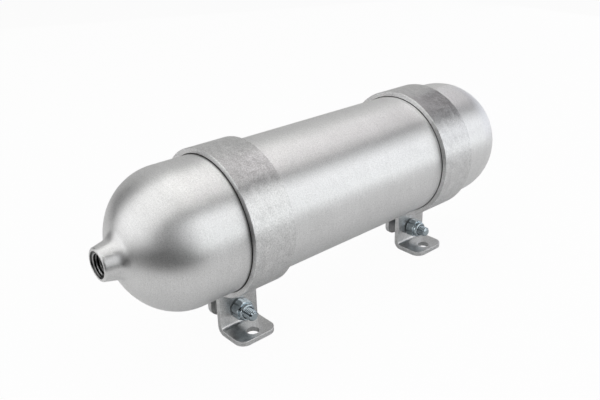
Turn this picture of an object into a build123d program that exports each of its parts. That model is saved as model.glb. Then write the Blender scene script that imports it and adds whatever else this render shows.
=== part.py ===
from build123d import *
import os
from math import asin, cos, degrees, isclose, radians, sqrt, tan

# Compressed air tank: a spun aluminium shell with one threaded port, held by two bent strap clamps.
# +X runs along the tank from the port to the closed end, and +Z is up. The origin lies on the plane
# that the feet stand on, midway between the two foot holes.

# Tank shell
tank_od = 101.6
tank_wall = 4.0
dome_depth = 44.5
straight_length = 283.7

# Neck and port, with a 3/8 inch pipe thread
neck_od = 22.8
neck_reach = 11.6
neck_flare = 13.0
neck_fillet = 9.0
port_bore = 17.1
port_chamfer = 0.5
neck_rim_round = 1.6

# Strap clamps, each bent from one flat bar
bar_thickness = 4.0
bar_width = 34.4
bar_edge_break = 0.4
seat_clearance = 0.35
clamp_spacing = 197.2
clamp_setback = 28.1
strap_bend = 1.5
foot_bend = 2.5
ear_gap = 7.5
ear_offset = 2.8
ear_margin = 7.6
corner_round = 8.0
foot_reach = 31.5

# Foot holes
foot_hole = 9.5
foot_hole_edge = 9.1

# Clamp bolts and nylon lock nuts, 3/8 inch
bolt_drop = 72.2
bolt_height = 17.2
bolt_diameter = 9.5
bolt_length = 34.4
bolt_point = 1.0
bolt_hole_clearance = 0.5
hex_flats = 14.3
head_height = 6.0
head_turn = 12.0
nut_turn = 41.0
nut_hex_height = 8.3
nut_height = 11.7
hex_bevel = 30.0
collar_od = 13.1
collar_wall = 0.7
collar_lip = 0.6
collar_overlap = 0.55
collar_round = 1.4
thread_clearance = 0.05
insert_height = 2.4
insert_clearance = 0.05

# Sizes that follow from the ones above
tank_radius = tank_od / 2
strap_inner = tank_radius + seat_clearance
hex_corner = hex_flats / sqrt(3)
tank_y = foot_reach - foot_hole_edge
foot_drop = bolt_drop + bolt_height
front_clamp_x = -clamp_spacing / 2
rear_clamp_x = clamp_spacing / 2
front_joint_x = front_clamp_x - bar_width / 2 - clamp_setback
rear_joint_x = front_joint_x + straight_length
port_x = front_joint_x - dome_depth - neck_reach
near_ear_inner = -ear_offset
near_ear_outer = near_ear_inner - bar_thickness
far_ear_inner = near_ear_inner + ear_gap
far_ear_outer = far_ear_inner + bar_thickness
far_ear_end = -(bolt_drop + ear_margin)
bolt_hole = bolt_diameter + 2 * bolt_hole_clearance
nut_bore = bolt_diameter / 2 + thread_clearance
collar_bore = collar_od / 2 - collar_wall
lip_bore = collar_bore - collar_overlap
insert_seat = near_ear_outer - nut_height + collar_lip + insert_height


def across(x):
    """Plane across the tank at x: local x is +Y, local y is +Z, and its origin is on the tank's axis."""
    return Plane(origin=(x, tank_y, foot_drop), x_dir=(0, 1, 0), z_dir=(1, 0, 0))


def square_to_bolt(x, y):
    """Plane square to a clamp bolt, y from the tank's axis: local x is +X, local y is +Z, normal is -Y."""
    return Plane(origin=(x, tank_y + y, foot_drop - bolt_drop), x_dir=(1, 0, 0), z_dir=(0, -1, 0))


def tank_shell():
    """The shell: one hollow piece, spun shut at the back and drawn into a threaded neck in front."""
    half_section = Plane(origin=(0, tank_y, foot_drop), x_dir=(1, 0, 0), z_dir=(0, -1, 0))
    tank_axis = Axis((0, tank_y, foot_drop), (1, 0, 0))
    mouth_plane = Plane(origin=(port_x, tank_y, foot_drop), z_dir=(-1, 0, 0))
    mouth = (port_x, neck_od / 2)
    neck_guide_end = (front_joint_x, neck_od / 2 + (front_joint_x - port_x) * tan(radians(neck_flare)))
    air_depth = dome_depth - tank_wall
    air_radius = tank_radius - tank_wall
    with BuildPart() as shell:
        # Outside: the neck flares out to meet a half ellipse, and another half ellipse shuts the back
        with BuildSketch(half_section):
            with BuildLine():
                neck_guide = Line(mouth, neck_guide_end, mode=Mode.PRIVATE)
                dome = EllipticalCenterArc(
                    (front_joint_x, 0), dome_depth, tank_radius, 90, arc_size=neck_guide
                )
                end = EllipticalCenterArc((rear_joint_x, 0), dome_depth, tank_radius, 0, arc_size=90)
                Line(dome @ 0, end @ 1)
                Polyline(dome @ 1, mouth, (port_x, 0), end @ 0)
            make_face()
        revolve(axis=tank_axis)
        neck_root = shell.edges().filter_by(GeomType.CIRCLE).filter_by_position(
            Axis.X, port_x, front_joint_x, (False, False)
        )
        fillet(neck_root, neck_fillet)
        fillet(shell.faces().sort_by(Axis.X)[0].edges(), neck_rim_round)
        # Inside: the air space keeps an even wall
        with BuildSketch(half_section):
            with BuildLine():
                dome = EllipticalCenterArc((front_joint_x, 0), air_depth, air_radius, 90, arc_size=90)
                end = EllipticalCenterArc((rear_joint_x, 0), air_depth, air_radius, 0, arc_size=90)
                Line(dome @ 0, end @ 1)
                Line(dome @ 1, end @ 0)
            make_face()
        revolve(axis=tank_axis, mode=Mode.SUBTRACT)
        # The port runs from the mouth into the air space
        with Locations(mouth_plane):
            Hole(port_bore / 2, depth=neck_reach + dome_depth)
        chamfer(shell.faces().sort_by(Axis.X)[0].edges().sort_by(SortBy.RADIUS)[0], port_chamfer)
    return shell.part


def strap_clamp(x):
    """A flat bar bent round the tank, with a short ear on one side and an ear with a foot on the other."""
    near_line = near_ear_inner - bar_thickness / 2
    far_line = far_ear_inner + bar_thickness / 2
    ring = strap_inner + bar_thickness / 2
    ear_turn = strap_bend + bar_thickness / 2
    foot_turn = foot_bend + bar_thickness / 2
    foot_line = -foot_drop + bar_thickness / 2
    near_angle = asin((ear_turn - near_line) / (ring + ear_turn))
    far_angle = asin((ear_turn + far_line) / (ring + ear_turn))
    near_top = -(ring + ear_turn) * cos(near_angle)
    with BuildPart() as clamp:
        with BuildSketch(across(x - bar_width / 2)):
            # Centre line of the bar, from the foot's edge round the tank to the end of the short ear
            with BuildLine():
                foot = Line((-foot_reach, foot_line), (near_line - foot_turn, foot_line))
                heel = JernArc(foot @ 1, foot % 1, foot_turn, 90)
                near_ear = Line(heel @ 1, (near_line, near_top))
                near_bend = JernArc(near_ear @ 1, near_ear % 1, ear_turn, 90 - degrees(near_angle))
                around = 360 - degrees(near_angle + far_angle)
                strap = JernArc(near_bend @ 1, near_bend % 1, ring, -around)
                far_bend = JernArc(strap @ 1, strap % 1, ear_turn, 90 - degrees(far_angle))
                Line(far_bend @ 1, (far_line, far_ear_end))
            trace(line_width=bar_thickness)
        extrude(amount=bar_width)
        foot_corners = clamp.edges().filter_by(Axis.Z).group_by(Axis.Y)[0]
        ear_corners = clamp.edges().filter_by(Axis.Y).group_by(SortBy.LENGTH)[0]
        fillet(foot_corners + ear_corners, corner_round)
        # The bar's long edges are broken by a small chamfer that runs on round the corners
        side_edges = clamp.faces().filter_by(Axis.X).edges()
        bar_ends = side_edges.filter_by(lambda edge: isclose(edge.length, bar_thickness, rel_tol=1e-6))
        chamfer(side_edges - bar_ends, bar_edge_break)
        with Locations(Plane(origin=(x, 0, bar_thickness))):
            Hole(foot_hole / 2, depth=bar_thickness)
        with Locations(square_to_bolt(x, near_ear_outer)):
            Hole(bolt_hole / 2, depth=ear_gap + 2 * bar_thickness)
    return clamp.part


def hexagon(x, y, height, turn, bevels):
    """Hexagon on a bolt's axis, from y along -Y; bevels gives each bevelled end and the way it slopes."""
    bolt_axis = Axis((x, tank_y, foot_drop - bolt_drop), (0, 1, 0))
    with BuildPart() as prism:
        with BuildSketch(square_to_bolt(x, y)):
            RegularPolygon(hex_corner, 6, rotation=turn)
        extrude(amount=height)
        for end, inward in bevels:
            slope = inward * hex_flats / 2 * tan(radians(hex_bevel))
            with BuildSketch(Plane(origin=(x, tank_y + end, foot_drop - bolt_drop))):
                with BuildLine():
                    Polyline((hex_flats / 2, 0), (hex_flats, 0), (hex_flats, slope), close=True)
                make_face()
            revolve(axis=bolt_axis, mode=Mode.SUBTRACT)
    return prism.part


def clamp_bolt(x):
    """Hexagon bolt: its head seats on the short ear, and its shank passes both ears and the lock nut."""
    head_end = far_ear_outer + head_height
    head = hexagon(x, head_end, head_height, head_turn, [(head_end, -1)])
    with BuildPart() as bolt:
        add(head)
        with BuildSketch(square_to_bolt(x, far_ear_outer)):
            Circle(bolt_diameter / 2)
        extrude(amount=bolt_length)
        chamfer(bolt.faces().sort_by(Axis.Y)[0].edges(), bolt_point)
    return bolt.part


def lock_nut(x):
    """Hexagon lock nut: a collar past the hexagon is rolled over a ring-shaped pocket for the insert."""
    hex_end = near_ear_outer - nut_hex_height
    body = hexagon(x, near_ear_outer, nut_hex_height, nut_turn, [(near_ear_outer, -1), (hex_end, 1)])
    with BuildPart() as nut:
        add(body)
        with BuildSketch(square_to_bolt(x, near_ear_outer)):
            Circle(collar_od / 2)
        extrude(amount=nut_height)
        fillet(nut.faces().sort_by(Axis.Y)[0].edges(), collar_round)
        with Locations(square_to_bolt(x, near_ear_outer - nut_height)):
            Hole(nut_bore, depth=nut_height)
            Hole(lip_bore, depth=collar_lip)
        with BuildSketch(square_to_bolt(x, insert_seat)):
            Circle(collar_bore)
        extrude(amount=insert_height, mode=Mode.SUBTRACT)
    return nut.part


def nut_insert(x):
    """Nylon ring held in the lock nut's pocket; the bolt passes through it."""
    with BuildPart() as ring:
        with BuildSketch(square_to_bolt(x, insert_seat)):
            Circle(collar_bore - insert_clearance)
            Circle(bolt_diameter / 2 + thread_clearance, mode=Mode.SUBTRACT)
        extrude(amount=insert_height)
    return ring.part


pieces = {"tank_shell": tank_shell()}
for place, clamp_x in (("front", front_clamp_x), ("rear", rear_clamp_x)):
    pieces[place + "_clamp"] = strap_clamp(clamp_x)
    pieces[place + "_bolt"] = clamp_bolt(clamp_x)
    pieces[place + "_lock_nut"] = lock_nut(clamp_x)
    pieces[place + "_nut_insert"] = nut_insert(clamp_x)

os.makedirs("parts", exist_ok=True)
for name, piece in pieces.items():
    piece.label = name
    export_step(piece, f"parts/{name}.step")
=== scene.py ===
"""Compressed air tank: its finishes, threads and studio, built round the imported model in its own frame.

Lengths are in metres. +X runs from the port to the closed end, +Z is up, and the feet are on z = 0.
"""
from math import radians

import bpy
import numpy as np
from bpy.props import FloatProperty, FloatVectorProperty, IntProperty, PointerProperty
from mathutils import Matrix, Vector


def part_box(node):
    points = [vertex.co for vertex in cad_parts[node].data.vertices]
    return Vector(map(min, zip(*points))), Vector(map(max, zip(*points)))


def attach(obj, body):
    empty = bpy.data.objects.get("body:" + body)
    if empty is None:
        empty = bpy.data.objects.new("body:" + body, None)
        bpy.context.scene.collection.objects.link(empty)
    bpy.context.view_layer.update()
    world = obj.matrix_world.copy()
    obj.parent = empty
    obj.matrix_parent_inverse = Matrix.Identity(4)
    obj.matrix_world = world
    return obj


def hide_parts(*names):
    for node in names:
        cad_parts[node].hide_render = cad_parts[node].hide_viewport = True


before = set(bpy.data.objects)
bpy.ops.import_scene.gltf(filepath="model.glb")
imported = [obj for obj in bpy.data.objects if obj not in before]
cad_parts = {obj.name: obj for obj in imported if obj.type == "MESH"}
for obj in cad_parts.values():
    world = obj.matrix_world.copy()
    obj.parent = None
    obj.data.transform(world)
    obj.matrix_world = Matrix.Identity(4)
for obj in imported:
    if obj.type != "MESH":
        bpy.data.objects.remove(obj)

bl_info = {
    "name": "Compressed air tank",
    "version": (1, 0, 0),
    "blender": (4, 5, 0),
    "location": "3D View > Sidebar > Air tank",
    "description": "Builds a strap-mounted aluminium air tank and the studio that it is shown in",
    "category": "Object",
}

BODY = "root"
PLACES = ("front", "rear")
PHOTO_WIDTH = 600
WELD = 1e-6
SHARP_ANGLE = radians(25)
FLAT_FACE_WEIGHT = 60
LAMP_DISTANCE = 1.3

# Rows of points along a dome, the straight part, an end of the air space, the countersink
DOME_ROWS, STRAIGHT_ROWS, INSIDE_ROWS, SINK_ROWS = 44, 24, 16, 4
# Steps round the neck's fillet, a small round, the insert's lip and the bar's rounded corners
FILLET_STEPS, ROUND_STEPS, LIP_STEPS, CORNER_STEPS = 12, 8, 6, 10
# Each thread's rows of points in a pitch, flat share of a pitch, and start in pitches
PORT_PITCH_ROWS, PORT_FLAT, PORT_PHASE = 16, 0.3, 0.35
BOLT_PITCH_ROWS, BOLT_FLAT = 11, 0.2
# Pitches over which the port's thread rises and fades, and between which the bolts' thread rises
PORT_RISE, PORT_FADE = 0.2, 0.8
BOLT_RISE = (0.3, 1.3)
# The strap's place among the bar's runs, and the turn from row to row in it and in the bends
STRAP_RUN = 4
STRAP_ROW_TURN, BEND_ROW_TURN = radians(1.6), radians(8)

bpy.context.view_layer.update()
SHELL_LOW, SHELL_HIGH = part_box("tank_shell")
AXIS_Y = (SHELL_LOW.y + SHELL_HIGH.y) / 2
AXIS_Z = (SHELL_LOW.z + SHELL_HIGH.z) / 2
TANK_RADIUS = (SHELL_HIGH.z - SHELL_LOW.z) / 2


def length(name, description, default):
    """A size in metres that a user may change."""
    return FloatProperty(
        name=name, description=description, default=default, min=0.0, unit="LENGTH", precision=5
    )


def angle(name, description, default):
    """An angle that a user may change; its default is in degrees."""
    return FloatProperty(name=name, description=description, default=radians(default), unit="ROTATION")


def colour(name, description, default):
    """A linear colour that a user may change."""
    return FloatVectorProperty(
        name=name, description=description, default=default, size=3, min=0.0, max=1.0, subtype="COLOR"
    )


def share(name, description, default):
    """A number from 0 to 1 that a user may change."""
    return FloatProperty(
        name=name, description=description, default=default, min=0.0, max=1.0, subtype="FACTOR"
    )


class TankSizes(bpy.types.PropertyGroup):
    """Sizes of the shell that its box doesn't give"""

    dome_depth: length("Dome depth", "Depth of the half ellipse at each end", 0.0445)
    wall: length("Wall", "Thickness of the shell", 0.004)
    neck_reach: length("Neck reach", "How far the neck stands out of the dome's ellipse", 0.0116)
    neck_radius: length("Neck radius", "Outer radius of the neck at its mouth", 0.0114)
    neck_flare: angle("Neck flare", "Angle between the neck's side and the tank's axis", 13)
    neck_fillet: length("Neck fillet", "Radius between the neck and the dome", 0.009)
    rim_round: length("Rim round", "Radius round the outside of the mouth", 0.0016)
    port_radius: length("Port radius", "Radius of the port at the thread's roots", 0.00855)
    port_sink: length("Port countersink", "How much wider than the port its countersink is", 0.001)
    port_sink_depth: length("Port countersink depth", "Depth of the countersink at the mouth", 0.0008)
    thread_pitch: length("Port thread pitch", "Pitch of the thread, measured in the photo", 0.0022)
    thread_depth: length("Port thread depth", "Height of the thread's ridges", 0.0013)
    segments: IntProperty(name="Segments", description="Points round the tank", default=192, min=24)


class ClampSizes(bpy.types.PropertyGroup):
    """Sizes of the bent bar that makes each clamp"""

    thickness: length("Thickness", "Thickness of the bar", 0.004)
    edge_round: length("Edge round", "Radius along the bar's edges", 0.0004)
    corner_round: length("Corner round", "Radius at the bar's four corners", 0.008)
    seat_clearance: length("Seat clearance", "Room between the strap and the tank", 0.00035)
    strap_bend: length("Strap bend", "Inside radius where the strap turns into an ear", 0.0015)
    foot_bend: length("Foot bend", "Inside radius where the ear turns into the foot", 0.0025)
    ear_gap: length("Ear gap", "Room between the two ears", 0.0075)
    ear_offset: length("Ear offset", "From the tank's axis to the long ear's inside", 0.0028)
    ear_margin: length("Ear margin", "From the bolt to the end of the short ear", 0.0076)
    bolt_drop: length("Bolt drop", "From the tank's axis down to the bolt", 0.0722)
    bolt_hole: length("Bolt hole", "Diameter of the holes in the ears", 0.0105)
    foot_reach: length("Foot reach", "From the tank's axis out to the foot's edge", 0.0315)
    foot_hole: length("Foot hole", "Diameter of the hole in the foot", 0.0095)
    foot_hole_edge: length("Foot hole edge", "From the foot's edge to its hole", 0.0091)
    hole_break: length("Hole break", "Chamfer round each hole", 0.0002)
    hole_patch: length("Hole patch", "Half the side of the square round each hole", 0.0065)


class FastenerSizes(bpy.types.PropertyGroup):
    """Sizes of the bolts, read from the photo, and of the 3/8 inch nylon lock nuts"""

    flats: length("Across flats", "Width of the hexagons across their flats", 0.0143)
    hex_round: length("Hexagon round", "Radius of the hexagons' corners", 0.0003)
    bevel: angle("Bevel", "Angle of the bevel at the hexagons' corners", 30)
    head_turn: angle("Head turn", "Turn of the bolt heads about their axis", 12)
    nut_turn: angle("Nut turn", "Turn of the nuts about their axis", 41)
    head_height: length("Head height", "Height of the bolt heads", 0.006)
    shank_radius: length("Shank radius", "Radius over the bolts' thread", 0.0042)
    bolt_point: length("Bolt point", "Chamfer at the bolts' end", 0.0014)
    thread_pitch: length("Bolt thread pitch", "Pitch of the bolts' thread", 0.0254 / 18)
    thread_depth: length("Bolt thread depth", "Depth of the thread's grooves", 0.0009)
    seat_radius: length("Seat face radius", "Radius of the nuts' round seat face", 0.0068)
    seat_height: length("Seat face height", "Height of the nuts' round seat face", 0.0007)
    nut_hex_height: length("Nut hexagon height", "Height of the nuts' hexagon", 0.0083)
    nut_bore: length("Nut bore", "Radius of the nuts' bore", 0.0048)
    collar_radius: length("Collar radius", "Outside radius of the nuts' collar", 0.00655)
    collar_wall: length("Collar wall", "Thickness of the collar", 0.0007)
    collar_round: length("Collar round", "Radius that the collar is rolled over to", 0.0014)
    collar_lip: length("Collar lip", "Thickness of the lip over the insert", 0.0006)
    collar_overlap: length("Collar overlap", "How far the lip covers the insert", 0.00055)
    insert_height: length("Insert height", "Height of the nylon insert", 0.0024)


class Finishes(bpy.types.PropertyGroup):
    """Colours and gloss of the metals and the nylon"""

    tank_colour: colour("Tank", "Satin aluminium of the shell", (0.80, 0.80, 0.80))
    tank_roughness: share("Tank roughness", "Roughness of the shell's satin finish", 0.44)
    tank_direction: share("Tank grain direction", "How much the grain stretches reflections", 0.63)
    tank_speckle: share("Tank speckle", "How much the speckle changes its tone", 0.40)
    tank_lines: share("Tank lines", "How much the turning lines change its tone", 0.12)
    tank_blotch: share("Tank blotches", "How much the blotches change its tone", 0.06)
    tank_unevenness: share("Tank unevenness", "How much the speckle changes its roughness", 0.20)
    tank_relief: length("Tank relief", "Height of the shell's speckle and lines", 0.00001)
    # Painted shade: the countersink, the port and the inside are made darker, for the shade in the bore.
    painted_port_shade: share("Port shade", "How much darker the port is than the shell", 0.2)
    port_polish: share("Port polish", "How much smoother the port is than the shell", 0.3)
    # Painted shade: a darkened band on the shell along each strap's edges, for the shadow in the gap
    # between strap and tank.
    painted_seam_shade: share("Seam shade", "How dark the grime along the straps is", 0.9)
    front_seam_reach: length("Front seam", "Reach of the grime at the front strap", 0.003)
    rear_seam_reach: length("Rear seam", "Reach of the grime at the rear strap", 0.0008)
    clamp_colour: colour("Clamp", "Mill-finish aluminium of the clamps", (0.66, 0.66, 0.66))
    clamp_roughness: share("Clamp roughness", "Roughness of the clamps' mill finish", 0.34)
    clamp_speckle: share("Clamp speckle", "How much the speckle changes their tone", 0.55)
    # Painted light: the cut faces of the bar's edges and holes are made lighter.
    painted_edge_light: share("Cut edge gain", "How much lighter the cut edges are", 0.12)
    clamp_mottle: share("Clamp mottle", "How much the mottling changes their tone", 0.25)
    clamp_unevenness: share("Clamp unevenness", "How much the mottling changes their roughness", 0.30)
    clamp_relief: length("Clamp relief", "Height of the clamps' speckle and lines", 0.000012)
    zinc_colour: colour("Zinc", "Zinc plating of the bolts and nuts", (0.50, 0.57, 0.61))
    zinc_roughness: share("Zinc roughness", "Roughness of the zinc plating", 0.08)
    zinc_mottle: share("Zinc mottle", "How much the plating's unevenness changes its tone", 0.12)
    zinc_unevenness: share("Zinc unevenness", "How much the plating's roughness changes", 0.5)
    # Painted shade at the roots of the threads, in the port's countersink and on the nuts' seat face.
    painted_groove_shade: share("Groove shade", "How dark the oil is at the roots of the threads", 0.9)
    nylon_colour: colour("Nylon", "Nylon of the lock nuts' inserts", (0.62, 0.66, 0.70))
    nylon_roughness: share("Nylon roughness", "Roughness of the nylon", 0.45)
    nylon_mottle: share("Nylon mottle", "How much the nylon's tone changes", 0.15)
    smooth_relief: length("Smooth relief", "Height of the zinc's and the nylon's unevenness", 0.00002)


class StudioSettings(bpy.types.PropertyGroup):
    """Camera, table top and room"""

    camera_place: FloatVectorProperty(
        name="Camera place", description="Where the camera stands", size=3, unit="LENGTH", precision=5,
        default=(-0.35981, -0.35643, 0.30393),
    )
    azimuth: angle("Azimuth", "Turn of the camera about +Z", -41.114)
    elevation: angle("Elevation", "How far the camera looks down", 23.919)
    roll: angle("Roll", "Turn of the picture", -1.451)
    focal_pixels: FloatProperty(
        name="Focal length in pixels", description="Focal length in the photograph's pixels",
        default=706.483,
    )
    table_size: length("Table size", "Side of the square table top", 12.0)
    table_edge: length("Table edge", "From the feet's middle to the table's front edge", 0.31)
    table_azimuth: angle("Table azimuth", "Where the table's front edge faces", -50)
    table_colour: colour("Table", "White of the table top", (0.8, 0.8, 0.8))
    table_seen: share("Table seen", "How near to plain white the camera sees the table", 0.96)
    table_mirrored: share("Table mirrored", "White that the object mirrors besides", 0.045)
    room_light: share("Room light", "Light of the room outside the table and the lamps", 0.01)


# Meshes from grids of points

def add_object(name, data):
    """A new object in the scene."""
    made = bpy.data.objects.new(name, data)
    bpy.context.scene.collection.objects.link(made)
    return made


def middle_and_half(node):
    """The middle of a CAD node's box, and half its width along the tank."""
    low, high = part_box(node)
    return [(first + last) / 2 for first, last in zip(low, high)], (high.x - low.x) / 2


def patch(points, fields, wrap_rows=False, wrap_columns=False, left_out=None):
    """A grid of points, the fields there, and its quads, less those left out. A quad joins a point to
    its neighbours in the next row and column, and wrapping joins the last to the first."""
    index = np.arange(points[..., 0].size).reshape(points.shape[:2])
    index = np.pad(index, ((0, wrap_rows), (0, wrap_columns)), mode="wrap")
    quads = np.stack([index[:-1, :-1], index[1:, :-1], index[1:, 1:], index[:-1, 1:]], axis=-1)
    kept = quads[~left_out] if left_out is not None else quads.reshape(-1, 4)
    return points.reshape(-1, 3), fields.reshape(-1, fields.shape[-1]), kept


def build_piece(name, patches, attributes, material, node):
    """One closed mesh from patches that share their borders. Points that fall together become one, so
    seams and poles close, and a quad that loses a corner becomes a triangle. Each attribute takes three
    of the points' fields."""
    points, fields, quads = zip(*patches)
    starts = np.cumsum([0] + [len(part) for part in points])
    points, fields = np.concatenate(points), np.concatenate(fields)
    quads = np.concatenate([part + start for part, start in zip(quads, starts)])
    cells = np.round(points / WELD).astype(np.int64)
    _, first, joined = np.unique(cells, axis=0, return_index=True, return_inverse=True)
    faces = [list(dict.fromkeys(face)) for face in joined.ravel()[quads].tolist()]
    mesh = bpy.data.meshes.new(name)
    mesh.from_pydata(points[first].tolist(), [], [face for face in faces if len(face) > 2])
    for column, field in zip(range(0, fields.shape[1], 3), attributes):
        values = fields[first, column:column + 3].astype(np.float32)
        mesh.attributes.new(field, "FLOAT_VECTOR", "POINT").data.foreach_set("vector", values.ravel())
    mesh.polygons.foreach_set("use_smooth", np.ones(len(mesh.polygons), dtype=bool))
    mesh.materials.append(material)
    mesh.update()
    mesh.set_sharp_from_angle(angle=SHARP_ANGLE)
    if mesh.validate():
        raise RuntimeError(f"{name} has faces that Blender can't use")
    piece = add_object(name, mesh)
    weighted = piece.modifiers.new("Flat faces stay flat", "WEIGHTED_NORMAL")
    weighted.weight = FLAT_FACE_WEIGHT
    weighted.keep_sharp = True
    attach(piece, BODY)
    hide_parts(node)


def arc(centre, radii, start, end, steps):
    """Points of an arc, both ends included: the centre plus the angle's cosine and sine times the two
    radii, or the one radius of a circle."""
    turn = np.linspace(start, end, steps + 1)
    return centre + np.broadcast_to(radii, 2) * np.stack([np.cos(turn), np.sin(turn)], axis=1)


def between(first, last, steps):
    """Points on a straight line, both ends included."""
    return np.linspace(np.array(first, float), np.array(last, float), steps + 1)


def joined_profile(*stretches):
    """Stretches of a profile one after the other, each but the first without its first point."""
    return np.concatenate([stretches[0]] + [stretch[1:] for stretch in stretches[1:]])


def ridge(phase, flat):
    """Height from 0 to 1 of a V thread's ridge at a phase in turns, half of its flat share at the crest
    and half at the root."""
    triangle = 1 - np.abs(2 * (phase % 1.0) - 1)
    return np.clip((triangle - flat / 2) / (1 - flat), 0, 1)


def ramp(value, start, end):
    """Rises from 0 at start to 1 at end, with no sharp turn at either."""
    done = np.clip((value - start) / (end - start), 0, 1)
    return done * done * (3 - 2 * done)


# The tank

def neck_joint(sizes, joint_x, mouth_x):
    """The neck fillet's centre, the angles between which it runs, and the dome's angle at its end. A
    circle of its radius rolls on the dome's ellipse, so its centre is the ellipse's point plus the
    radius along the normal, up to where that is as far from the neck's side."""
    least, trials = 0.02, 20001
    turn = np.linspace(least, np.pi / 2, trials)
    on_dome = np.stack([joint_x - sizes.dome_depth * np.cos(turn), TANK_RADIUS * np.sin(turn)], axis=1)
    outward = np.stack([-np.cos(turn) / sizes.dome_depth, np.sin(turn) / TANK_RADIUS], axis=1)
    outward /= np.linalg.norm(outward, axis=1, keepdims=True)
    centre = on_dome + sizes.neck_fillet * outward
    side_normal = np.array([-np.sin(sizes.neck_flare), np.cos(sizes.neck_flare)])
    gap = (centre - np.array([mouth_x, sizes.neck_radius])) @ side_normal - sizes.neck_fillet
    dome_turn = np.interp(0.0, gap, turn)
    centre, normal = (
        np.array([np.interp(dome_turn, turn, part) for part in pairs.T]) for pairs in (centre, outward)
    )
    dome_side = np.arctan2(-normal[1], -normal[0]) % (2 * np.pi)
    neck_side = np.arctan2(-side_normal[1], -side_normal[0]) % (2 * np.pi)
    return centre, dome_side, neck_side, dome_turn


def tank_profile(sizes):
    """The shell's section as x and radius: from the closed end's pole over the outside to the mouth,
    and back through the port and along the inside. It also gives where the port's rows start, and how
    many there are, for its thread."""
    mouth_x = SHELL_LOW.x
    front_x = mouth_x + sizes.neck_reach + sizes.dome_depth
    rear_x = SHELL_HIGH.x - sizes.dome_depth
    dome = (sizes.dome_depth, TANK_RADIUS)
    centre, dome_side, neck_side, dome_turn = neck_joint(sizes, front_x, mouth_x)
    outside = joined_profile(
        arc((rear_x, 0), dome, 0, np.pi / 2, DOME_ROWS),
        between((rear_x, TANK_RADIUS), (front_x, TANK_RADIUS), STRAIGHT_ROWS),
        arc((front_x, 0), dome, np.pi / 2, np.pi - dome_turn, DOME_ROWS),
        arc(centre, sizes.neck_fillet, dome_side, neck_side, FILLET_STEPS),
    )
    flare = sizes.neck_flare
    rim_radius = sizes.neck_radius + sizes.rim_round * (np.sin(flare) - 1) / np.cos(flare)
    rim_centre = (mouth_x + sizes.rim_round, rim_radius)
    rim = arc(rim_centre, sizes.rim_round, np.pi / 2 + flare, np.pi, ROUND_STEPS)
    sink = (mouth_x, sizes.port_radius + sizes.port_sink)
    neck = joined_profile(
        between(outside[-1], rim[0], ROUND_STEPS), rim, between(rim[-1], sink, 2),
        between(sink, (mouth_x + sizes.port_sink_depth, sizes.port_radius), SINK_ROWS),
    )
    air_depth = sizes.dome_depth - sizes.wall
    air_radius = TANK_RADIUS - sizes.wall
    port_turn = np.arcsin(sizes.port_radius / air_radius)
    port_end = front_x - air_depth * np.cos(port_turn)
    port_rows = int(np.ceil((port_end - neck[-1, 0]) / sizes.thread_pitch * PORT_PITCH_ROWS))
    port = between(neck[-1], (port_end, sizes.port_radius), port_rows)
    inside = joined_profile(
        arc((front_x, 0), (air_depth, air_radius), np.pi - port_turn, np.pi / 2, INSIDE_ROWS),
        between((front_x, air_radius), (rear_x, air_radius), INSIDE_ROWS // 4),
        arc((rear_x, 0), (air_depth, air_radius), np.pi / 2, 0, INSIDE_ROWS),
    )
    ahead = joined_profile(outside, neck)
    return joined_profile(ahead, port, inside), len(ahead), port_rows


class AIRTANK_OT_tank(bpy.types.Operator):
    """Build the shell, with the thread in its port"""

    bl_idname = "airtank.tank"
    bl_label = "Tank"

    def execute(self, context):
        """Surface of revolution: a point goes round the axis at its profile radius. In the port a ridge
        stands in from that radius; its phase is the depth in pitches less the turn, a right-hand helix.
        The materials read the place along the profile, the profile's heading and where the port is."""
        sizes = context.scene.airtank_tank
        profile, port_start, port_rows = tank_profile(sizes)
        turn = np.arange(sizes.segments) * (2 * np.pi / sizes.segments)

        def round_axis(along, away):
            """Vectors from their part along the tank's axis and their part away from it."""
            parts = np.broadcast_arrays(along, away * np.cos(turn), away * np.sin(turn))
            return np.stack(parts, axis=-1)

        radius = np.repeat(profile[:, 1:], sizes.segments, axis=1)
        port = slice(port_start - 1, port_start + port_rows)
        depth = (profile[port, :1] - profile[port_start - 1, 0]) / sizes.thread_pitch
        present = ramp(depth, 0, PORT_RISE) * ramp(-depth, -depth.max(), -depth.max() + PORT_FADE)
        thread = ridge(depth - turn / (2 * np.pi) + PORT_PHASE, PORT_FLAT)
        radius[port] -= sizes.thread_depth * present * thread
        points = round_axis(profile[:, :1], radius) + (0, AXIS_Y, AXIS_Z)
        along = np.concatenate([[0], np.cumsum(np.linalg.norm(np.diff(profile, axis=0), axis=1))])
        pattern = round_axis(along[:, None], TANK_RADIUS)
        heading = np.gradient(profile, axis=0)
        heading /= np.linalg.norm(heading, axis=1, keepdims=True)
        grain = round_axis(heading[:, :1], heading[:, 1:])
        # The port mask's first part marks the countersink, the port and the inside. Its second part is
        # painted shade: 1 in the countersink and where the thread rises and fades, 1 at the thread's
        # roots and 0 at its crests.
        in_port = np.zeros(points.shape)
        in_port[port_start - SINK_ROWS:, :, 0] = 1
        in_port[port_start - SINK_ROWS:port_start, :, 1] = 1
        in_port[port, :, 1] = 1 - present * thread**2
        shell = patch(points, np.concatenate([pattern, grain, in_port], axis=-1), wrap_columns=True)
        build_piece("tank", [shell], ("pattern", "grain", "port"),
                    tank_material(context.scene.airtank_finishes), "tank_shell")
        return {"FINISHED"}


# The clamps

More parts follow.
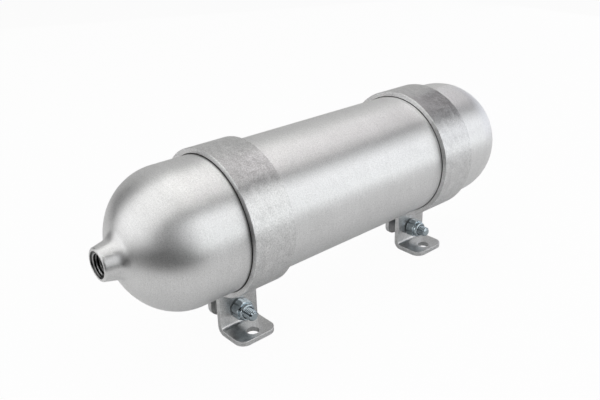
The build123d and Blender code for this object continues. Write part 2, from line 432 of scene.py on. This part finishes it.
def bar_runs(sizes):
    """The bar's centre line, from the tank's axis: its start, the lengths and curvatures of its runs,
    and where each ends. The runs are the foot, the heel bend, the ear, the strap's bend, the strap, its
    other bend and the short ear. It sets out to +Y, and a left turn has a positive curvature."""
    half = sizes.thickness / 2
    ring = TANK_RADIUS + sizes.seat_clearance + half
    ear_turn = sizes.strap_bend + half
    foot_turn = sizes.foot_bend + half
    near_line = -sizes.ear_offset - half
    far_line = -sizes.ear_offset + sizes.ear_gap + half
    foot_line = -AXIS_Z + half
    near_angle = np.arcsin((ear_turn - near_line) / (ring + ear_turn))
    far_angle = np.arcsin((ear_turn + far_line) / (ring + ear_turn))
    near_top = -(ring + ear_turn) * np.cos(near_angle)
    far_top = -(ring + ear_turn) * np.cos(far_angle)
    lengths = np.array([
        near_line - foot_turn + sizes.foot_reach,
        foot_turn * np.pi / 2,
        near_top - foot_line - foot_turn,
        ear_turn * (np.pi / 2 - near_angle),
        ring * (2 * np.pi - near_angle - far_angle),
        ear_turn * (np.pi / 2 - far_angle),
        far_top + sizes.bolt_drop + sizes.ear_margin,
    ])
    curvatures = np.array([0, 1 / foot_turn, 0, 1 / ear_turn, -1 / ring, 1 / ear_turn, 0])
    ends = np.concatenate([[0], np.cumsum(lengths)])
    return np.array([-sizes.foot_reach, foot_line]), lengths, curvatures, ends


def follow(runs, along):
    """Points and left-hand normals of a line of runs, at distances along it. In a run the heading turns
    evenly, by the curvature times the distance."""
    start, lengths, curvatures, ends = runs
    headings = np.concatenate([[0], np.cumsum(lengths * curvatures)])
    starts = [start]
    for run, run_length in enumerate(lengths):
        starts.append(starts[-1] + step_along(headings[run], curvatures[run], run_length))
    run = np.clip(np.searchsorted(ends, along, side="right") - 1, 0, len(lengths) - 1)
    reach = along - ends[run]
    points = np.array(starts)[run] + step_along(headings[run], curvatures[run], reach)
    heading = headings[run] + curvatures[run] * reach
    return points, np.stack([-np.sin(heading), np.cos(heading)], axis=-1)


def step_along(heading, curvature, reach):
    """How far a run takes a point that sets out at a heading: straight on, or in a bend the differences
    of the heading's sine and cosine over the curvature."""
    safe = np.where(curvature == 0, 1.0, curvature)
    turned = heading + curvature * reach
    bent = np.stack([np.sin(turned) - np.sin(heading), np.cos(heading) - np.cos(turned)], axis=-1)
    straight = np.stack([np.cos(heading) * reach, np.sin(heading) * reach], axis=-1)
    return np.where((np.asarray(curvature) == 0)[..., None], straight, bent / safe[..., None])


def rows_along(sizes, runs, holes, cells):
    """Distances along the bar at which its section is set: close at the rounded corners and bends, and
    evenly spaced across the square round each hole, where no other row may fall."""
    _, lengths, curvatures, ends = runs
    turn = np.linspace(0, np.pi / 2, CORNER_STEPS + 1)
    corner = sizes.edge_round + (sizes.corner_round - sizes.edge_round) * (1 - np.cos(turn))
    rows = [corner, ends[-1] - corner]
    least_steps, decimals, clear_share = 4, 9, 1.02
    for run, curvature in enumerate(curvatures):
        row_turn = STRAP_ROW_TURN if run == STRAP_RUN else BEND_ROW_TURN
        steps = max(int(np.ceil(abs(curvature) * lengths[run] / row_turn)), least_steps)
        rows.append(np.linspace(ends[run], ends[run + 1], steps + 1))
    rows = np.clip(np.concatenate(rows), corner[0], ends[-1] - corner[0])
    rows = np.unique(np.round(rows, decimals))
    for hole in holes:
        rows = rows[np.abs(rows - hole) > sizes.hole_patch * clear_share]
        inner = np.linspace(-sizes.hole_patch, sizes.hole_patch, cells + 1)
        rows = np.concatenate([rows, hole + inner])
    return np.sort(rows)


def outline(sizes, rows, total, half_width, inset):
    """Where the bar's outline, drawn in by an inset, meets each row: the distance along the bar and the
    half width. Within a corner both follow the corner's arc, whose radius is less by the inset."""
    least = sizes.edge_round
    reach = np.minimum(rows, total - rows)
    turn = np.arccos(np.clip(1 - (reach - least) / (sizes.corner_round - least), -1, 1))
    in_corner = reach < sizes.corner_round
    turn = np.where(in_corner, turn, np.pi / 2)
    arc_reach = inset + (sizes.corner_round - inset) * (1 - np.cos(turn))
    reach = np.where(in_corner, arc_reach, reach)
    wide = half_width - sizes.corner_round + (sizes.corner_round - inset) * np.sin(turn)
    return np.where(rows < total / 2, reach, total - reach), wide


def clamp_patches(sizes, centre_x, half_width):
    """The bar's surface in patches. A rounded section is carried along the centre line, and its columns
    go over the top, one edge, the bottom and the other edge. Two patches carry the edge's profile
    across the ends, and each hole has a ring from its square through the bar."""
    runs = bar_runs(sizes)
    (_, foot_line), *_, ends = runs
    total, half = ends[-1], sizes.thickness / 2
    near_hole = ends[2] + (-sizes.bolt_drop - (foot_line + sizes.foot_bend + half))
    holes = {
        sizes.foot_hole_edge: sizes.foot_hole / 2,
        near_hole: sizes.bolt_hole / 2,
        total - sizes.ear_margin: sizes.bolt_hole / 2,
    }
    cells, margin_cells, round_steps, ring_rows, ring_ease = 14, 5, 4, 5, 1.5
    rows = rows_along(sizes, runs, holes, cells)

    def place(along, across, height, cut=0.0):
        """Points along the centre line, across the bar and out from its middle, and their fields: those
        three measures, and three times 1 on a cut edge."""
        along, across, height, cut = np.broadcast_arrays(along, across, height, cut)
        middle, normal = follow(runs, along.ravel())
        section = middle + height.reshape(-1, 1) * normal + (AXIS_Y, AXIS_Z)
        points = np.column_stack([centre_x - across.ravel(), section]).reshape(*along.shape, 3)
        return points, np.stack([along, across, height, cut, cut, cut], axis=-1)

    quarter = np.linspace(0, np.pi / 2, round_steps + 1)
    inset = sizes.edge_round * (1 - np.sin(quarter))
    height = half - sizes.edge_round * (1 - np.cos(quarter))
    edge_inset = np.concatenate([inset, inset[::-1]])
    edge_height = np.concatenate([height, -height[::-1]])

    flat_along, flat_wide = outline(sizes, rows, total, half_width, sizes.edge_round)
    inner = np.linspace(-sizes.hole_patch, sizes.hole_patch, cells + 1)
    outer = np.linspace(0, 1, margin_cells + 1)[1:]
    right = sizes.hole_patch + (flat_wide[:, None] - sizes.hole_patch) * outer
    across = np.hstack([-right[:, ::-1], np.repeat(inner[None], len(rows), 0), right])
    rim = [outline(sizes, rows, total, half_width, amount) for amount in edge_inset[1:-1]]
    rim_along, rim_wide = (np.stack(part, axis=1) for part in zip(*rim))
    rim_height = np.repeat(edge_height[None, 1:-1], len(rows), 0)
    flat = np.repeat(flat_along[:, None], across.shape[1], 1)
    level = np.full(across.shape, half)
    body, body_pattern = place(
        np.hstack([flat, rim_along, flat, rim_along[:, ::-1]]),
        np.hstack([across, rim_wide, across[:, ::-1], -rim_wide[:, ::-1]]),
        np.hstack([level, rim_height, -level, rim_height[:, ::-1]]),
        np.repeat([0, 1, 0, 1], [across.shape[1], rim_wide.shape[1]] * 2),
    )
    left_out = np.zeros((len(rows) - 1, body.shape[1]), dtype=bool)
    to_bottom = across.shape[1] + rim_wide.shape[1]
    for hole in holes:
        within = np.abs((rows[1:] + rows[:-1]) / 2 - hole) < sizes.hole_patch
        for first in (margin_cells, to_bottom + margin_cells):
            left_out[np.ix_(within, np.arange(first, first + cells))] = True
    patches = [patch(body, body_pattern, wrap_columns=True, left_out=left_out)]

    in_cut = np.r_[0, np.ones(len(edge_inset) - 2), 0]
    for end, row, sign in ((0, across[0], 1), (total, across[-1], -1)):
        cap = place((end + sign * edge_inset)[:, None], row, edge_height[:, None], in_cut[:, None])
        patches.append(patch(*(grid[::-sign] for grid in cap)))

    side, one = np.linspace(-1, 1, cells + 1)[:-1], np.ones(cells)
    sides = ((side, -one), (one, side), (-side, one), (-one, -side))
    square = sizes.hole_patch * np.concatenate([np.stack(pair, axis=1) for pair in sides])
    circle = square / np.linalg.norm(square, axis=1, keepdims=True)
    spread = (np.linspace(1, 0, ring_rows) ** ring_ease)[:, None, None]
    wall_height = half - sizes.hole_break
    parts = [ring_rows, 1, 1, ring_rows]
    levels = np.repeat([-half, -wall_height, wall_height, half], parts)[:, None]
    in_cut = np.repeat([0, 1, 1, 0], parts)[:, None]
    for hole, hole_radius in holes.items():
        ring = circle * (hole_radius + sizes.hole_break)
        sheet = ring + (square - ring) * spread
        wall = np.repeat((circle * hole_radius)[None], 2, 0)
        plan = np.concatenate([sheet, wall, sheet[::-1]])
        around = place(hole + plan[..., 0], plan[..., 1], levels, in_cut)
        patches.append(patch(*around, wrap_columns=True))
    return patches


class AIRTANK_OT_clamps(bpy.types.Operator):
    """Build the two strap clamps, each one bent bar with rounded corners and drilled ears and foot"""

    bl_idname = "airtank.clamps"
    bl_label = "Strap clamps"

    def execute(self, context):
        sizes = context.scene.airtank_clamps
        material = clamp_material(context.scene.airtank_finishes)
        for name in PLACES:
            node = name + "_clamp"
            middle, half_width = middle_and_half(node)
            patches = clamp_patches(sizes, middle[0], half_width)
            fields = ("pattern", "cut_edge")
            build_piece(name + "_strap", patches, fields, material, node)
        return {"FINISHED"}


# The bolts and nuts

def hexagon(sizes, turn):
    """A hexagon round a bolt's axis: the turns from +Z towards +X at which it is set, closest at its
    corners, its radius there, and how far its bevel falls. On a side the radius is the flat's distance
    over the cosine of the turn from its middle, and at a corner it reaches the corner's arc. The bevel
    falls by its tangent times what the radius is past the flats."""
    flat = sizes.flats / 2
    offsets = np.radians([-30, -20, -11, -5, -1.2, -0.6, 0, 0.6, 1.2, 5, 11, 20])
    last_corner = np.pi / 2 - turn
    turns = (last_corner - np.arange(6)[::-1, None] * np.pi / 3 + offsets).ravel()
    from_corner = (turns - last_corner + np.pi / 6) % (np.pi / 3) - np.pi / 6
    side = flat / np.cos(np.pi / 6 - np.abs(from_corner))
    arc_centre = (flat - sizes.hex_round) / np.cos(np.pi / 6)
    sideways = arc_centre * np.sin(from_corner)
    inside = np.clip(sizes.hex_round**2 - sideways**2, 0, None)
    rounded = arc_centre * np.cos(from_corner) + np.sqrt(inside)
    radius = np.where(sizes.hex_round * np.sin(np.pi / 6) > np.abs(sideways), rounded, side)
    return turns, radius, (radius - flat) * np.tan(sizes.bevel)


def turned_piece(name, rows, turns, closed, material, node):
    """A zinc-plated piece round a bolt's axis: each row gives a radius and a y for every turn, and how
    deep in a groove they are, which the zinc takes as painted shade."""
    (centre_x, _, centre_z), _ = middle_and_half(node)
    radius, y, groove = (
        np.stack([np.broadcast_to((*row, 0.0)[part], turns.shape) for row in rows]) for part in range(3)
    )
    points = np.stack([centre_x + radius * np.sin(turns), y, centre_z + radius * np.cos(turns)], -1)
    surface = patch(points, np.stack([groove] * 3, axis=-1), wrap_rows=closed, wrap_columns=True)
    build_piece(name, [surface], ("groove",), material, node)


class AIRTANK_OT_bolts(bpy.types.Operator):
    """Build the two clamp bolts: a bevelled hexagon head and a threaded shank with a chamfered point"""

    bl_idname = "airtank.bolts"
    bl_label = "Clamp bolts"

    def execute(self, context):
        """Rows run from the head's outer face to the shank's end. A thread row's radius is the shank's
        less the groove, whose phase is the distance in pitches less the turn, a right-hand helix."""
        sizes = context.scene.airtank_fasteners
        material = zinc_material(context.scene.airtank_finishes)
        turns, radius, slope = hexagon(sizes, sizes.head_turn)
        flat = sizes.flats / 2
        for name in PLACES:
            low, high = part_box(name + "_bolt")
            end, top = low.y, high.y
            under = top - sizes.head_height
            rows = [(0, top), (flat / 2, top), (flat, top), (radius, top - slope), (radius, under),
                    (sizes.shank_radius, under)]
            steps = int(np.ceil((under - end) / sizes.thread_pitch * BOLT_PITCH_ROWS))
            for y in np.linspace(under, end, steps + 1)[1:]:
                depth = (under - y) / sizes.thread_pitch
                groove = 1 - ridge(depth + turns / (2 * np.pi), BOLT_FLAT)
                groove *= ramp(depth, *BOLT_RISE)
                threaded = sizes.shank_radius - sizes.thread_depth * groove
                pointed = sizes.shank_radius - sizes.bolt_point + (y - end)
                # The groove's depth, past the thread's rise, also gives the zinc painted shade at the
                # thread's roots.
                rows.append((np.minimum(threaded, pointed), y, np.where(threaded < pointed, groove, 0)))
            rows.append((0, end))
            turned_piece(name + "_threaded_bolt", rows, turns, False, material, name + "_bolt")
        return {"FINISHED"}


class AIRTANK_OT_lock_nuts(bpy.types.Operator):
    """Build the two lock nuts: a hexagon bevelled at both ends and a collar rolled over the insert"""

    bl_idname = "airtank.lock_nuts"
    bl_label = "Lock nuts"

    def execute(self, context):
        """Rows run from the bore at the ear, over the round seat face, the hexagon and the collar, and
        back in under the lip. The seat face carries painted shade, for the dark line where the nut meets
        the ear."""
        sizes = context.scene.airtank_fasteners
        material = zinc_material(context.scene.airtank_finishes)
        turns, radius, slope = hexagon(sizes, sizes.nut_turn)
        flat, face, collar = sizes.flats / 2, sizes.seat_radius, sizes.collar_radius
        pocket = collar - sizes.collar_wall
        lip = pocket - sizes.collar_overlap
        for name in PLACES:
            low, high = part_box(name + "_lock_nut")
            seat, end = high.y, low.y
            hex_end = seat - sizes.nut_hex_height
            rolled = arc((collar - sizes.collar_round, end + sizes.collar_round),
                         sizes.collar_round, 0, -np.pi / 2, ROUND_STEPS)
            lip_radius = sizes.collar_lip / 2
            lip_round = arc((lip + lip_radius, end + lip_radius), lip_radius,
                            -np.pi / 2, -3 * np.pi / 2, LIP_STEPS)
            insert_seat = end + sizes.collar_lip + sizes.insert_height
            bevel = seat - sizes.seat_height
            # A third value of 1 gives the seat face painted shade, for the dark line where the nut meets
            # the ear.
            rows = [(sizes.nut_bore, seat), (face, seat, 1), (face, bevel, 1), (flat, bevel, 1),
                    (radius, bevel - slope), (radius, hex_end + slope), (flat, hex_end),
                    (collar, hex_end), *rolled, *lip_round, (pocket, end + sizes.collar_lip),
                    (pocket, insert_seat), (sizes.nut_bore, insert_seat)]
            turned_piece(name + "_nut", rows, turns, True, material, name + "_lock_nut")
        return {"FINISHED"}


class AIRTANK_OT_nut_inserts(bpy.types.Operator):
    """Give the nylon rings in the lock nuts their material"""

    bl_idname = "airtank.nut_inserts"
    bl_label = "Nut inserts"

    def execute(self, context):
        material = nylon_material(context.scene.airtank_finishes)
        for name in PLACES:
            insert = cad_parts[name + "_nut_insert"]
            insert.data.materials.clear()
            insert.data.materials.append(material)
        return {"FINISHED"}


# Materials

def connect(tree, node, inputs):
    """Sets a node's inputs, each to a value or a link from a socket."""
    for socket, value in inputs.items():
        if isinstance(value, bpy.types.NodeSocket):
            tree.links.new(value, node.inputs[socket])
        else:
            node.inputs[socket].default_value = value


def add_node(tree, kind, inputs=None, **settings):
    """A node of a kind, with its settings and its inputs."""
    made = tree.nodes.new(kind)
    for setting, value in settings.items():
        setattr(made, setting, value)
    connect(tree, made, inputs or {})
    return made


def math_node(tree, operation, first, second=0.5, **settings):
    """The result of a sum on one or two values or sockets."""
    inputs = {0: first, 1: second}
    return add_node(tree, "ShaderNodeMath", inputs, operation=operation, **settings).outputs[0]


def product(tree, first, second):
    """One value or socket times another."""
    return math_node(tree, "MULTIPLY", first, second)


def attribute(tree, name, output="Vector"):
    """What a piece's attribute gives to a material's tree."""
    return add_node(tree, "ShaderNodeAttribute", attribute_name=name).outputs[output]


def place_group(tree, name, fill, inputs, values, outputs):
    """Places a node group in a tree with its own values, and gives its outputs. It is built the first
    time: inputs gives its sockets' kinds, and fill makes what goes to its outputs, all numbers."""
    group = bpy.data.node_groups.get(name)
    if group is None:
        group = bpy.data.node_groups.new(name, "ShaderNodeTree")
        for socket, kind in inputs.items():
            group.interface.new_socket(socket, in_out="INPUT", socket_type="NodeSocket" + kind)
        for socket in outputs:
            group.interface.new_socket(socket, in_out="OUTPUT", socket_type="NodeSocketFloat")
        results = fill(group, group.nodes.new("NodeGroupInput").outputs)
        connect(group, group.nodes.new("NodeGroupOutput"), dict(zip(outputs, results)))
    return add_node(tree, "ShaderNodeGroup", dict(zip(inputs, values)), node_tree=group).outputs


def fill_grain(group, entry):
    """Fine speckle, blotches and drawn-out lines, from pattern coordinates in metres. Each runs from 0
    to 1 about 0.5."""
    def noise(place, scale, detail, roughness):
        """The value of a noise texture."""
        inputs = {"Vector": place, "Scale": scale, "Detail": detail, "Roughness": roughness}
        return add_node(group, "ShaderNodeTexNoise", inputs).outputs[0]

    place = entry["Vector"]
    stretch = {0: place, 1: entry["Line Stretch"]}
    drawn = add_node(group, "ShaderNodeVectorMath", stretch, operation="MULTIPLY").outputs[0]
    return (noise(place, entry["Speckle Scale"], 3.0, 0.6),
            noise(place, entry["Blotch Scale"], 4.0, 0.55), noise(drawn, 1.0, 3.0, 0.65))


def grain(tree, *values):
    """The speckle, blotches and lines of a grain, from its coordinates, the scales of the speckle and
    the blotches, and the stretch of the lines."""
    inputs = {"Vector": "Vector", "Speckle Scale": "Float", "Blotch Scale": "Float",
              "Line Stretch": "Vector"}
    outputs = ("Speckle", "Blotch", "Lines")
    return place_group(tree, "Metal grain", fill_grain, inputs, values, outputs)


def fill_band(group, entry):
    """1 within a half width of a centre on one axis, falling to 0 over the reach beyond it. The square
    of what is left of the fall makes it steep at first and faint at its end."""
    away = math_node(group, "SUBTRACT", entry["Place"], entry["Centre"])
    away = math_node(group, "ABSOLUTE", away)
    beyond = math_node(group, "SUBTRACT", away, entry["Half Width"])
    fall = math_node(group, "DIVIDE", beyond, entry["Reach"], use_clamp=True)
    left = math_node(group, "SUBTRACT", 1.0, fall)
    return (product(group, left, left),)


def band(tree, *values):
    """A band's mask, from a place, the band's centre and half width, and the reach of its fall."""
    inputs = dict.fromkeys(("Place", "Centre", "Half Width", "Reach"), "Float")
    return place_group(tree, "Band mask", fill_band, inputs, values, ("Mask",))[0]


def shaded(tree, factor, mask, amount):
    """A factor made less by an amount where a mask is 1."""
    return product(tree, factor, math_node(tree, "SUBTRACT", 1.0, product(tree, mask, amount)))


def new_material(name):
    """A material with one Principled shader, and its tree."""
    material = bpy.data.materials.new(name)
    material.use_nodes = True
    tree = material.node_tree
    return material, tree, tree.nodes["Principled BSDF"]


def uneven(tree, value, *strays):
    """A value times a factor for each mask and amount: 1 where the mask is 0.5, and the amount less or
    more where it is 0 or 1."""
    for mask, amount in strays:
        strayed = product(tree, math_node(tree, "SUBTRACT", mask, 0.5), 2 * amount)
        value = product(tree, value, math_node(tree, "ADD", strayed, 1.0))
    return value


def finish(tree, shader, colour, tone, roughness, height, relief, metallic=1.0):
    """Gives a shader a colour times a tone, a roughness, and a normal from a height times a relief."""
    inputs = {0: colour, "Scale": tone}
    toned = add_node(tree, "ShaderNodeVectorMath", inputs, operation="SCALE").outputs[0]
    inputs = {"Height": height, "Distance": relief, "Strength": 1.0}
    normal = add_node(tree, "ShaderNodeBump", inputs).outputs[0]
    connect(tree, shader, {
        "Base Color": toned, "Roughness": roughness, "Normal": normal, "Metallic": metallic,
    })


def object_place(tree):
    """The place of a point in the object, in metres."""
    return add_node(tree, "ShaderNodeTexCoord").outputs["Object"]


def tank_material(finishes):
    """Turned satin aluminium: a fine speckle and lines round the tank, over faint blotches. The port is
    smoother, and painted shade darkens it, most in its countersink and at its thread's roots. A band of
    painted shade lies along each strap's edges, for the shadow in the gap between strap and shell."""
    material, tree, shader = new_material("Satin tank aluminium")
    pattern = attribute(tree, "pattern")
    speckle, blotch, lines = grain(tree, pattern, 1300.0, 45.0, (2200.0, 70.0, 70.0))
    tone = uneven(tree, 1.0, (speckle, finishes.tank_speckle), (lines, finishes.tank_lines),
                  (blotch, finishes.tank_blotch))
    # Painted shade: the port darker, and darker still in its countersink and at its thread's roots.
    port, groove, _ = add_node(tree, "ShaderNodeSeparateXYZ", {0: attribute(tree, "port")}).outputs
    tone = shaded(tree, shaded(tree, tone, port, finishes.painted_port_shade), groove, finishes.painted_groove_shade)
    along = add_node(tree, "ShaderNodeSeparateXYZ", {0: object_place(tree)}).outputs["X"]
    # Painted shade along each strap's edges, for the shadow in the gap: full under the strap, fading over
    # the reach.
    for name in PLACES:
        middle, half_width = middle_and_half(name + "_clamp")
        seam = band(tree, along, middle[0], half_width, getattr(finishes, name + "_seam_reach"))
        tone = shaded(tree, tone, seam, finishes.painted_seam_shade)
    roughness = uneven(tree, finishes.tank_roughness, (speckle, finishes.tank_unevenness))
    roughness = shaded(tree, roughness, port, finishes.port_polish)
    height = math_node(tree, "ADD", speckle, lines)
    finish(tree, shader, finishes.tank_colour, tone, roughness, height, finishes.tank_relief)
    connect(tree, shader, {
        "Tangent": attribute(tree, "grain"), "Anisotropic": finishes.tank_direction,
    })
    return material


def clamp_material(finishes):
    """Mill-finish aluminium bar: mottled, with faint lines along it from the rolls. Painted light makes
    the cut faces of its edges and holes lighter."""
    material, tree, shader = new_material("Mill finish aluminium")
    pattern = attribute(tree, "pattern")
    speckle, blotch, lines = grain(tree, pattern, 1100.0, 260.0, (60.0, 1600.0, 1600.0))
    tone = uneven(tree, 1.0, (speckle, finishes.clamp_speckle), (blotch, finishes.clamp_mottle))
    # Painted light on the cut faces of the edges and holes.
    gain = product(tree, attribute(tree, "cut_edge", "Fac"), finishes.painted_edge_light)
    tone = product(tree, tone, math_node(tree, "ADD", 1.0, gain))
    roughness = uneven(tree, finishes.clamp_roughness, (blotch, finishes.clamp_unevenness))
    height = math_node(tree, "ADD", speckle, lines)
    finish(tree, shader, finishes.clamp_colour, tone, roughness, height, finishes.clamp_relief)
    return material


def zinc_material(finishes):
    """Bright zinc plating: bluish, smooth and faintly uneven, with painted shade at the roots of the
    bolts' thread and on the nuts' seat face."""
    name = "Bright zinc"
    if name in bpy.data.materials:
        return bpy.data.materials[name]
    material, tree, shader = new_material(name)
    _, blotch, _ = grain(tree, object_place(tree), 2500.0, 500.0, (900.0,) * 3)
    tone = uneven(tree, 1.0, (blotch, finishes.zinc_mottle))
    # Painted shade at the bolts' thread roots and on the nuts' seat face.
    tone = shaded(tree, tone, attribute(tree, "groove", "Fac"), finishes.painted_groove_shade)
    roughness = uneven(tree, finishes.zinc_roughness, (blotch, finishes.zinc_unevenness))
    finish(tree, shader, finishes.zinc_colour, tone, roughness, blotch, finishes.smooth_relief)
    return material


def nylon_material(finishes):
    """Plain moulded nylon, faintly uneven."""
    material, tree, shader = new_material("Nylon")
    speckle, blotch, _ = grain(tree, object_place(tree), 2500.0, 700.0, (900.0,) * 3)
    tone = uneven(tree, 1.0, (blotch, finishes.nylon_mottle))
    finish(tree, shader, finishes.nylon_colour, tone, finishes.nylon_roughness, speckle,
           finishes.smooth_relief, metallic=0.0)
    return material


# The studio

def facing(azimuth, elevation, roll):
    """Rotation of a camera or lamp that looks at the object from an azimuth and elevation, and is then
    rolled."""
    level = np.cos(elevation)
    back = Vector((np.sin(azimuth) * level, -np.cos(azimuth) * level, np.sin(elevation)))
    right = Vector((0, 0, 1)).cross(back).normalized()
    up = back.cross(right)
    rolled_right = np.cos(roll) * right + np.sin(roll) * up
    rolled_up = np.cos(roll) * up - np.sin(roll) * right
    return Matrix((rolled_right, rolled_up, back)).transposed()


def stand(name, data, place, turn):
    """A camera or lamp at a place, with its rotation."""
    made = add_object(name, data)
    made.matrix_world = Matrix.Translation(place) @ turn.to_4x4()
    return made


def add_camera(settings):
    """The camera at the photograph's place, with its angles and focal length."""
    data = bpy.data.cameras.new("camera")
    data.sensor_width = 36.0
    data.lens = settings.focal_pixels * data.sensor_width / PHOTO_WIDTH
    data.clip_start, data.clip_end = 0.01, 50.0
    turn = facing(settings.azimuth, settings.elevation, settings.roll)
    bpy.context.scene.camera = stand("camera", data, settings.camera_place, turn)


def add_lamp(name, azimuth, elevation, size, brightness, tint):
    """A soft box that faces the tank from an azimuth and elevation in degrees. Its power is the
    brightness of its face times pi times its area."""
    data = bpy.data.lights.new(name, "AREA")
    data.shape = "RECTANGLE"
    data.size, data.size_y = size
    data.energy = brightness * np.pi * size[0] * size[1]
    data.color = tint
    turn = facing(radians(azimuth), radians(elevation), 0)
    stand(name, data, Vector((0, AXIS_Y, AXIS_Z)) + turn.col[2] * LAMP_DISTANCE, turn)


def mixed_surface(tree, kind, factor, plain, white):
    """Ends a tree: one shader where a factor is 0, another where it is 1, into an output of a kind."""
    shaders = {0: factor, 1: plain.outputs[0], 2: white.outputs[0]}
    mixed = add_node(tree, "ShaderNodeMixShader", shaders).outputs[0]
    add_node(tree, kind, {"Surface": mixed})


def floor_material(settings):
    """White table top: it takes the object's shadow, the camera sees it near plain white, and the
    object mirrors it as it is lit, with a little white added."""
    material, tree, _ = new_material("White floor")
    tree.nodes.clear()
    path = add_node(tree, "ShaderNodeLightPath").outputs
    seen = product(tree, path["Is Camera Ray"], settings.table_seen)
    mirrored = product(tree, path["Is Glossy Ray"], settings.table_mirrored)
    plain = add_node(tree, "ShaderNodeBsdfDiffuse", {"Color": (*settings.table_colour, 1)})
    white = add_node(tree, "ShaderNodeEmission", {"Color": (1, 1, 1, 1), "Strength": 1.0})
    factor = math_node(tree, "ADD", seen, mirrored)
    mixed_surface(tree, "ShaderNodeOutputMaterial", factor, plain, white)
    return material


def studio_world(settings):
    """Camera rays see white, and everything else a dim grey room."""
    world = bpy.data.worlds.new("studio")
    world.use_nodes = True
    tree = world.node_tree
    tree.nodes.clear()
    path = add_node(tree, "ShaderNodeLightPath").outputs
    room, white = (
        add_node(tree, "ShaderNodeBackground", {"Color": (1, 1, 1, 1), "Strength": strength})
        for strength in (settings.room_light, 1.0)
    )
    mixed_surface(tree, "ShaderNodeOutputWorld", path["Is Camera Ray"], room, white)
    bpy.context.scene.world = world


class AIRTANK_OT_studio(bpy.types.Operator):
    """Set up the camera, the soft boxes, the white room and the table top"""

    bl_idname = "airtank.studio"
    bl_label = "Studio"

    def execute(self, context):
        settings = context.scene.airtank_studio
        add_camera(settings)
        front = facing(settings.table_azimuth, 0, 0)
        sideways = front.col[0] * settings.table_size / 2
        near = front.col[2] * settings.table_edge
        far = near - front.col[2] * settings.table_size
        mesh = bpy.data.meshes.new("floor")
        corners = [near - sideways, near + sideways, far + sideways, far - sideways]
        mesh.from_pydata(corners, [], [(0, 1, 2, 3)])
        mesh.materials.append(floor_material(settings))
        floor = add_object("floor", mesh)
        add_lamp("low_front", 23, 3, (1.75, 0.47), 1.35, (0.98, 1, 1))
        add_lamp("top_strip", 89, 78.5, (1.65, 0.12), 7.4, (1, 0.99, 0.97))
        add_lamp("high_right", 94, 51.5, (0.85, 0.12), 4.2, (1, 0.96, 0.98))
        add_lamp("low_left", -110, 14, (1.55, 0.65), 1.4, (1, 1, 1))
        add_lamp("front", -11, 28, (0.85, 0.82), 1.05, (0.98, 0.99, 1))
        add_lamp("top", -103, 58, (1.55, 1.2), 1.15, (1, 1, 0.99))
        add_lamp("right", 34, 29, (1.1, 0.64), 1.36, (0.99, 1, 1))
        add_lamp("back", 156, 19, (1.85, 2.0), 0.5, (1, 1, 0.99))
        add_lamp("low_right", 87, 3, (1.55, 1.0), 1.06, (0.9, 0.92, 1))
        studio_world(settings)
        context.scene.view_settings.view_transform = "Standard"
        return {"FINISHED"}


class AIRTANK_PT_panel(bpy.types.Panel):
    """Buttons that build the tank piece by piece"""

    bl_idname = "AIRTANK_PT_panel"
    bl_label = "Air tank"
    bl_space_type = "VIEW_3D"
    bl_region_type = "UI"
    bl_category = "Air tank"

    def draw(self, context):
        for step in STEPS:
            self.layout.operator(step.bl_idname)


STEPS = (
    AIRTANK_OT_tank,
    AIRTANK_OT_clamps,
    AIRTANK_OT_bolts,
    AIRTANK_OT_lock_nuts,
    AIRTANK_OT_nut_inserts,
    AIRTANK_OT_studio,
)
SETTINGS = {
    "airtank_tank": TankSizes,
    "airtank_clamps": ClampSizes,
    "airtank_fasteners": FastenerSizes,
    "airtank_finishes": Finishes,
    "airtank_studio": StudioSettings,
}


def register():
    for group in SETTINGS.values():
        bpy.utils.register_class(group)
    for attribute, group in SETTINGS.items():
        setattr(bpy.types.Scene, attribute, PointerProperty(type=group))
    for step in (*STEPS, AIRTANK_PT_panel):
        bpy.utils.register_class(step)


def unregister():
    for step in (*STEPS, AIRTANK_PT_panel):
        bpy.utils.unregister_class(step)
    for attribute, group in SETTINGS.items():
        delattr(bpy.types.Scene, attribute)
        bpy.utils.unregister_class(group)


def main():
    register()
    for step in STEPS:
        family, action = step.bl_idname.split(".")
        getattr(getattr(bpy.ops, family), action)()


if __name__ == "__main__":
    main()
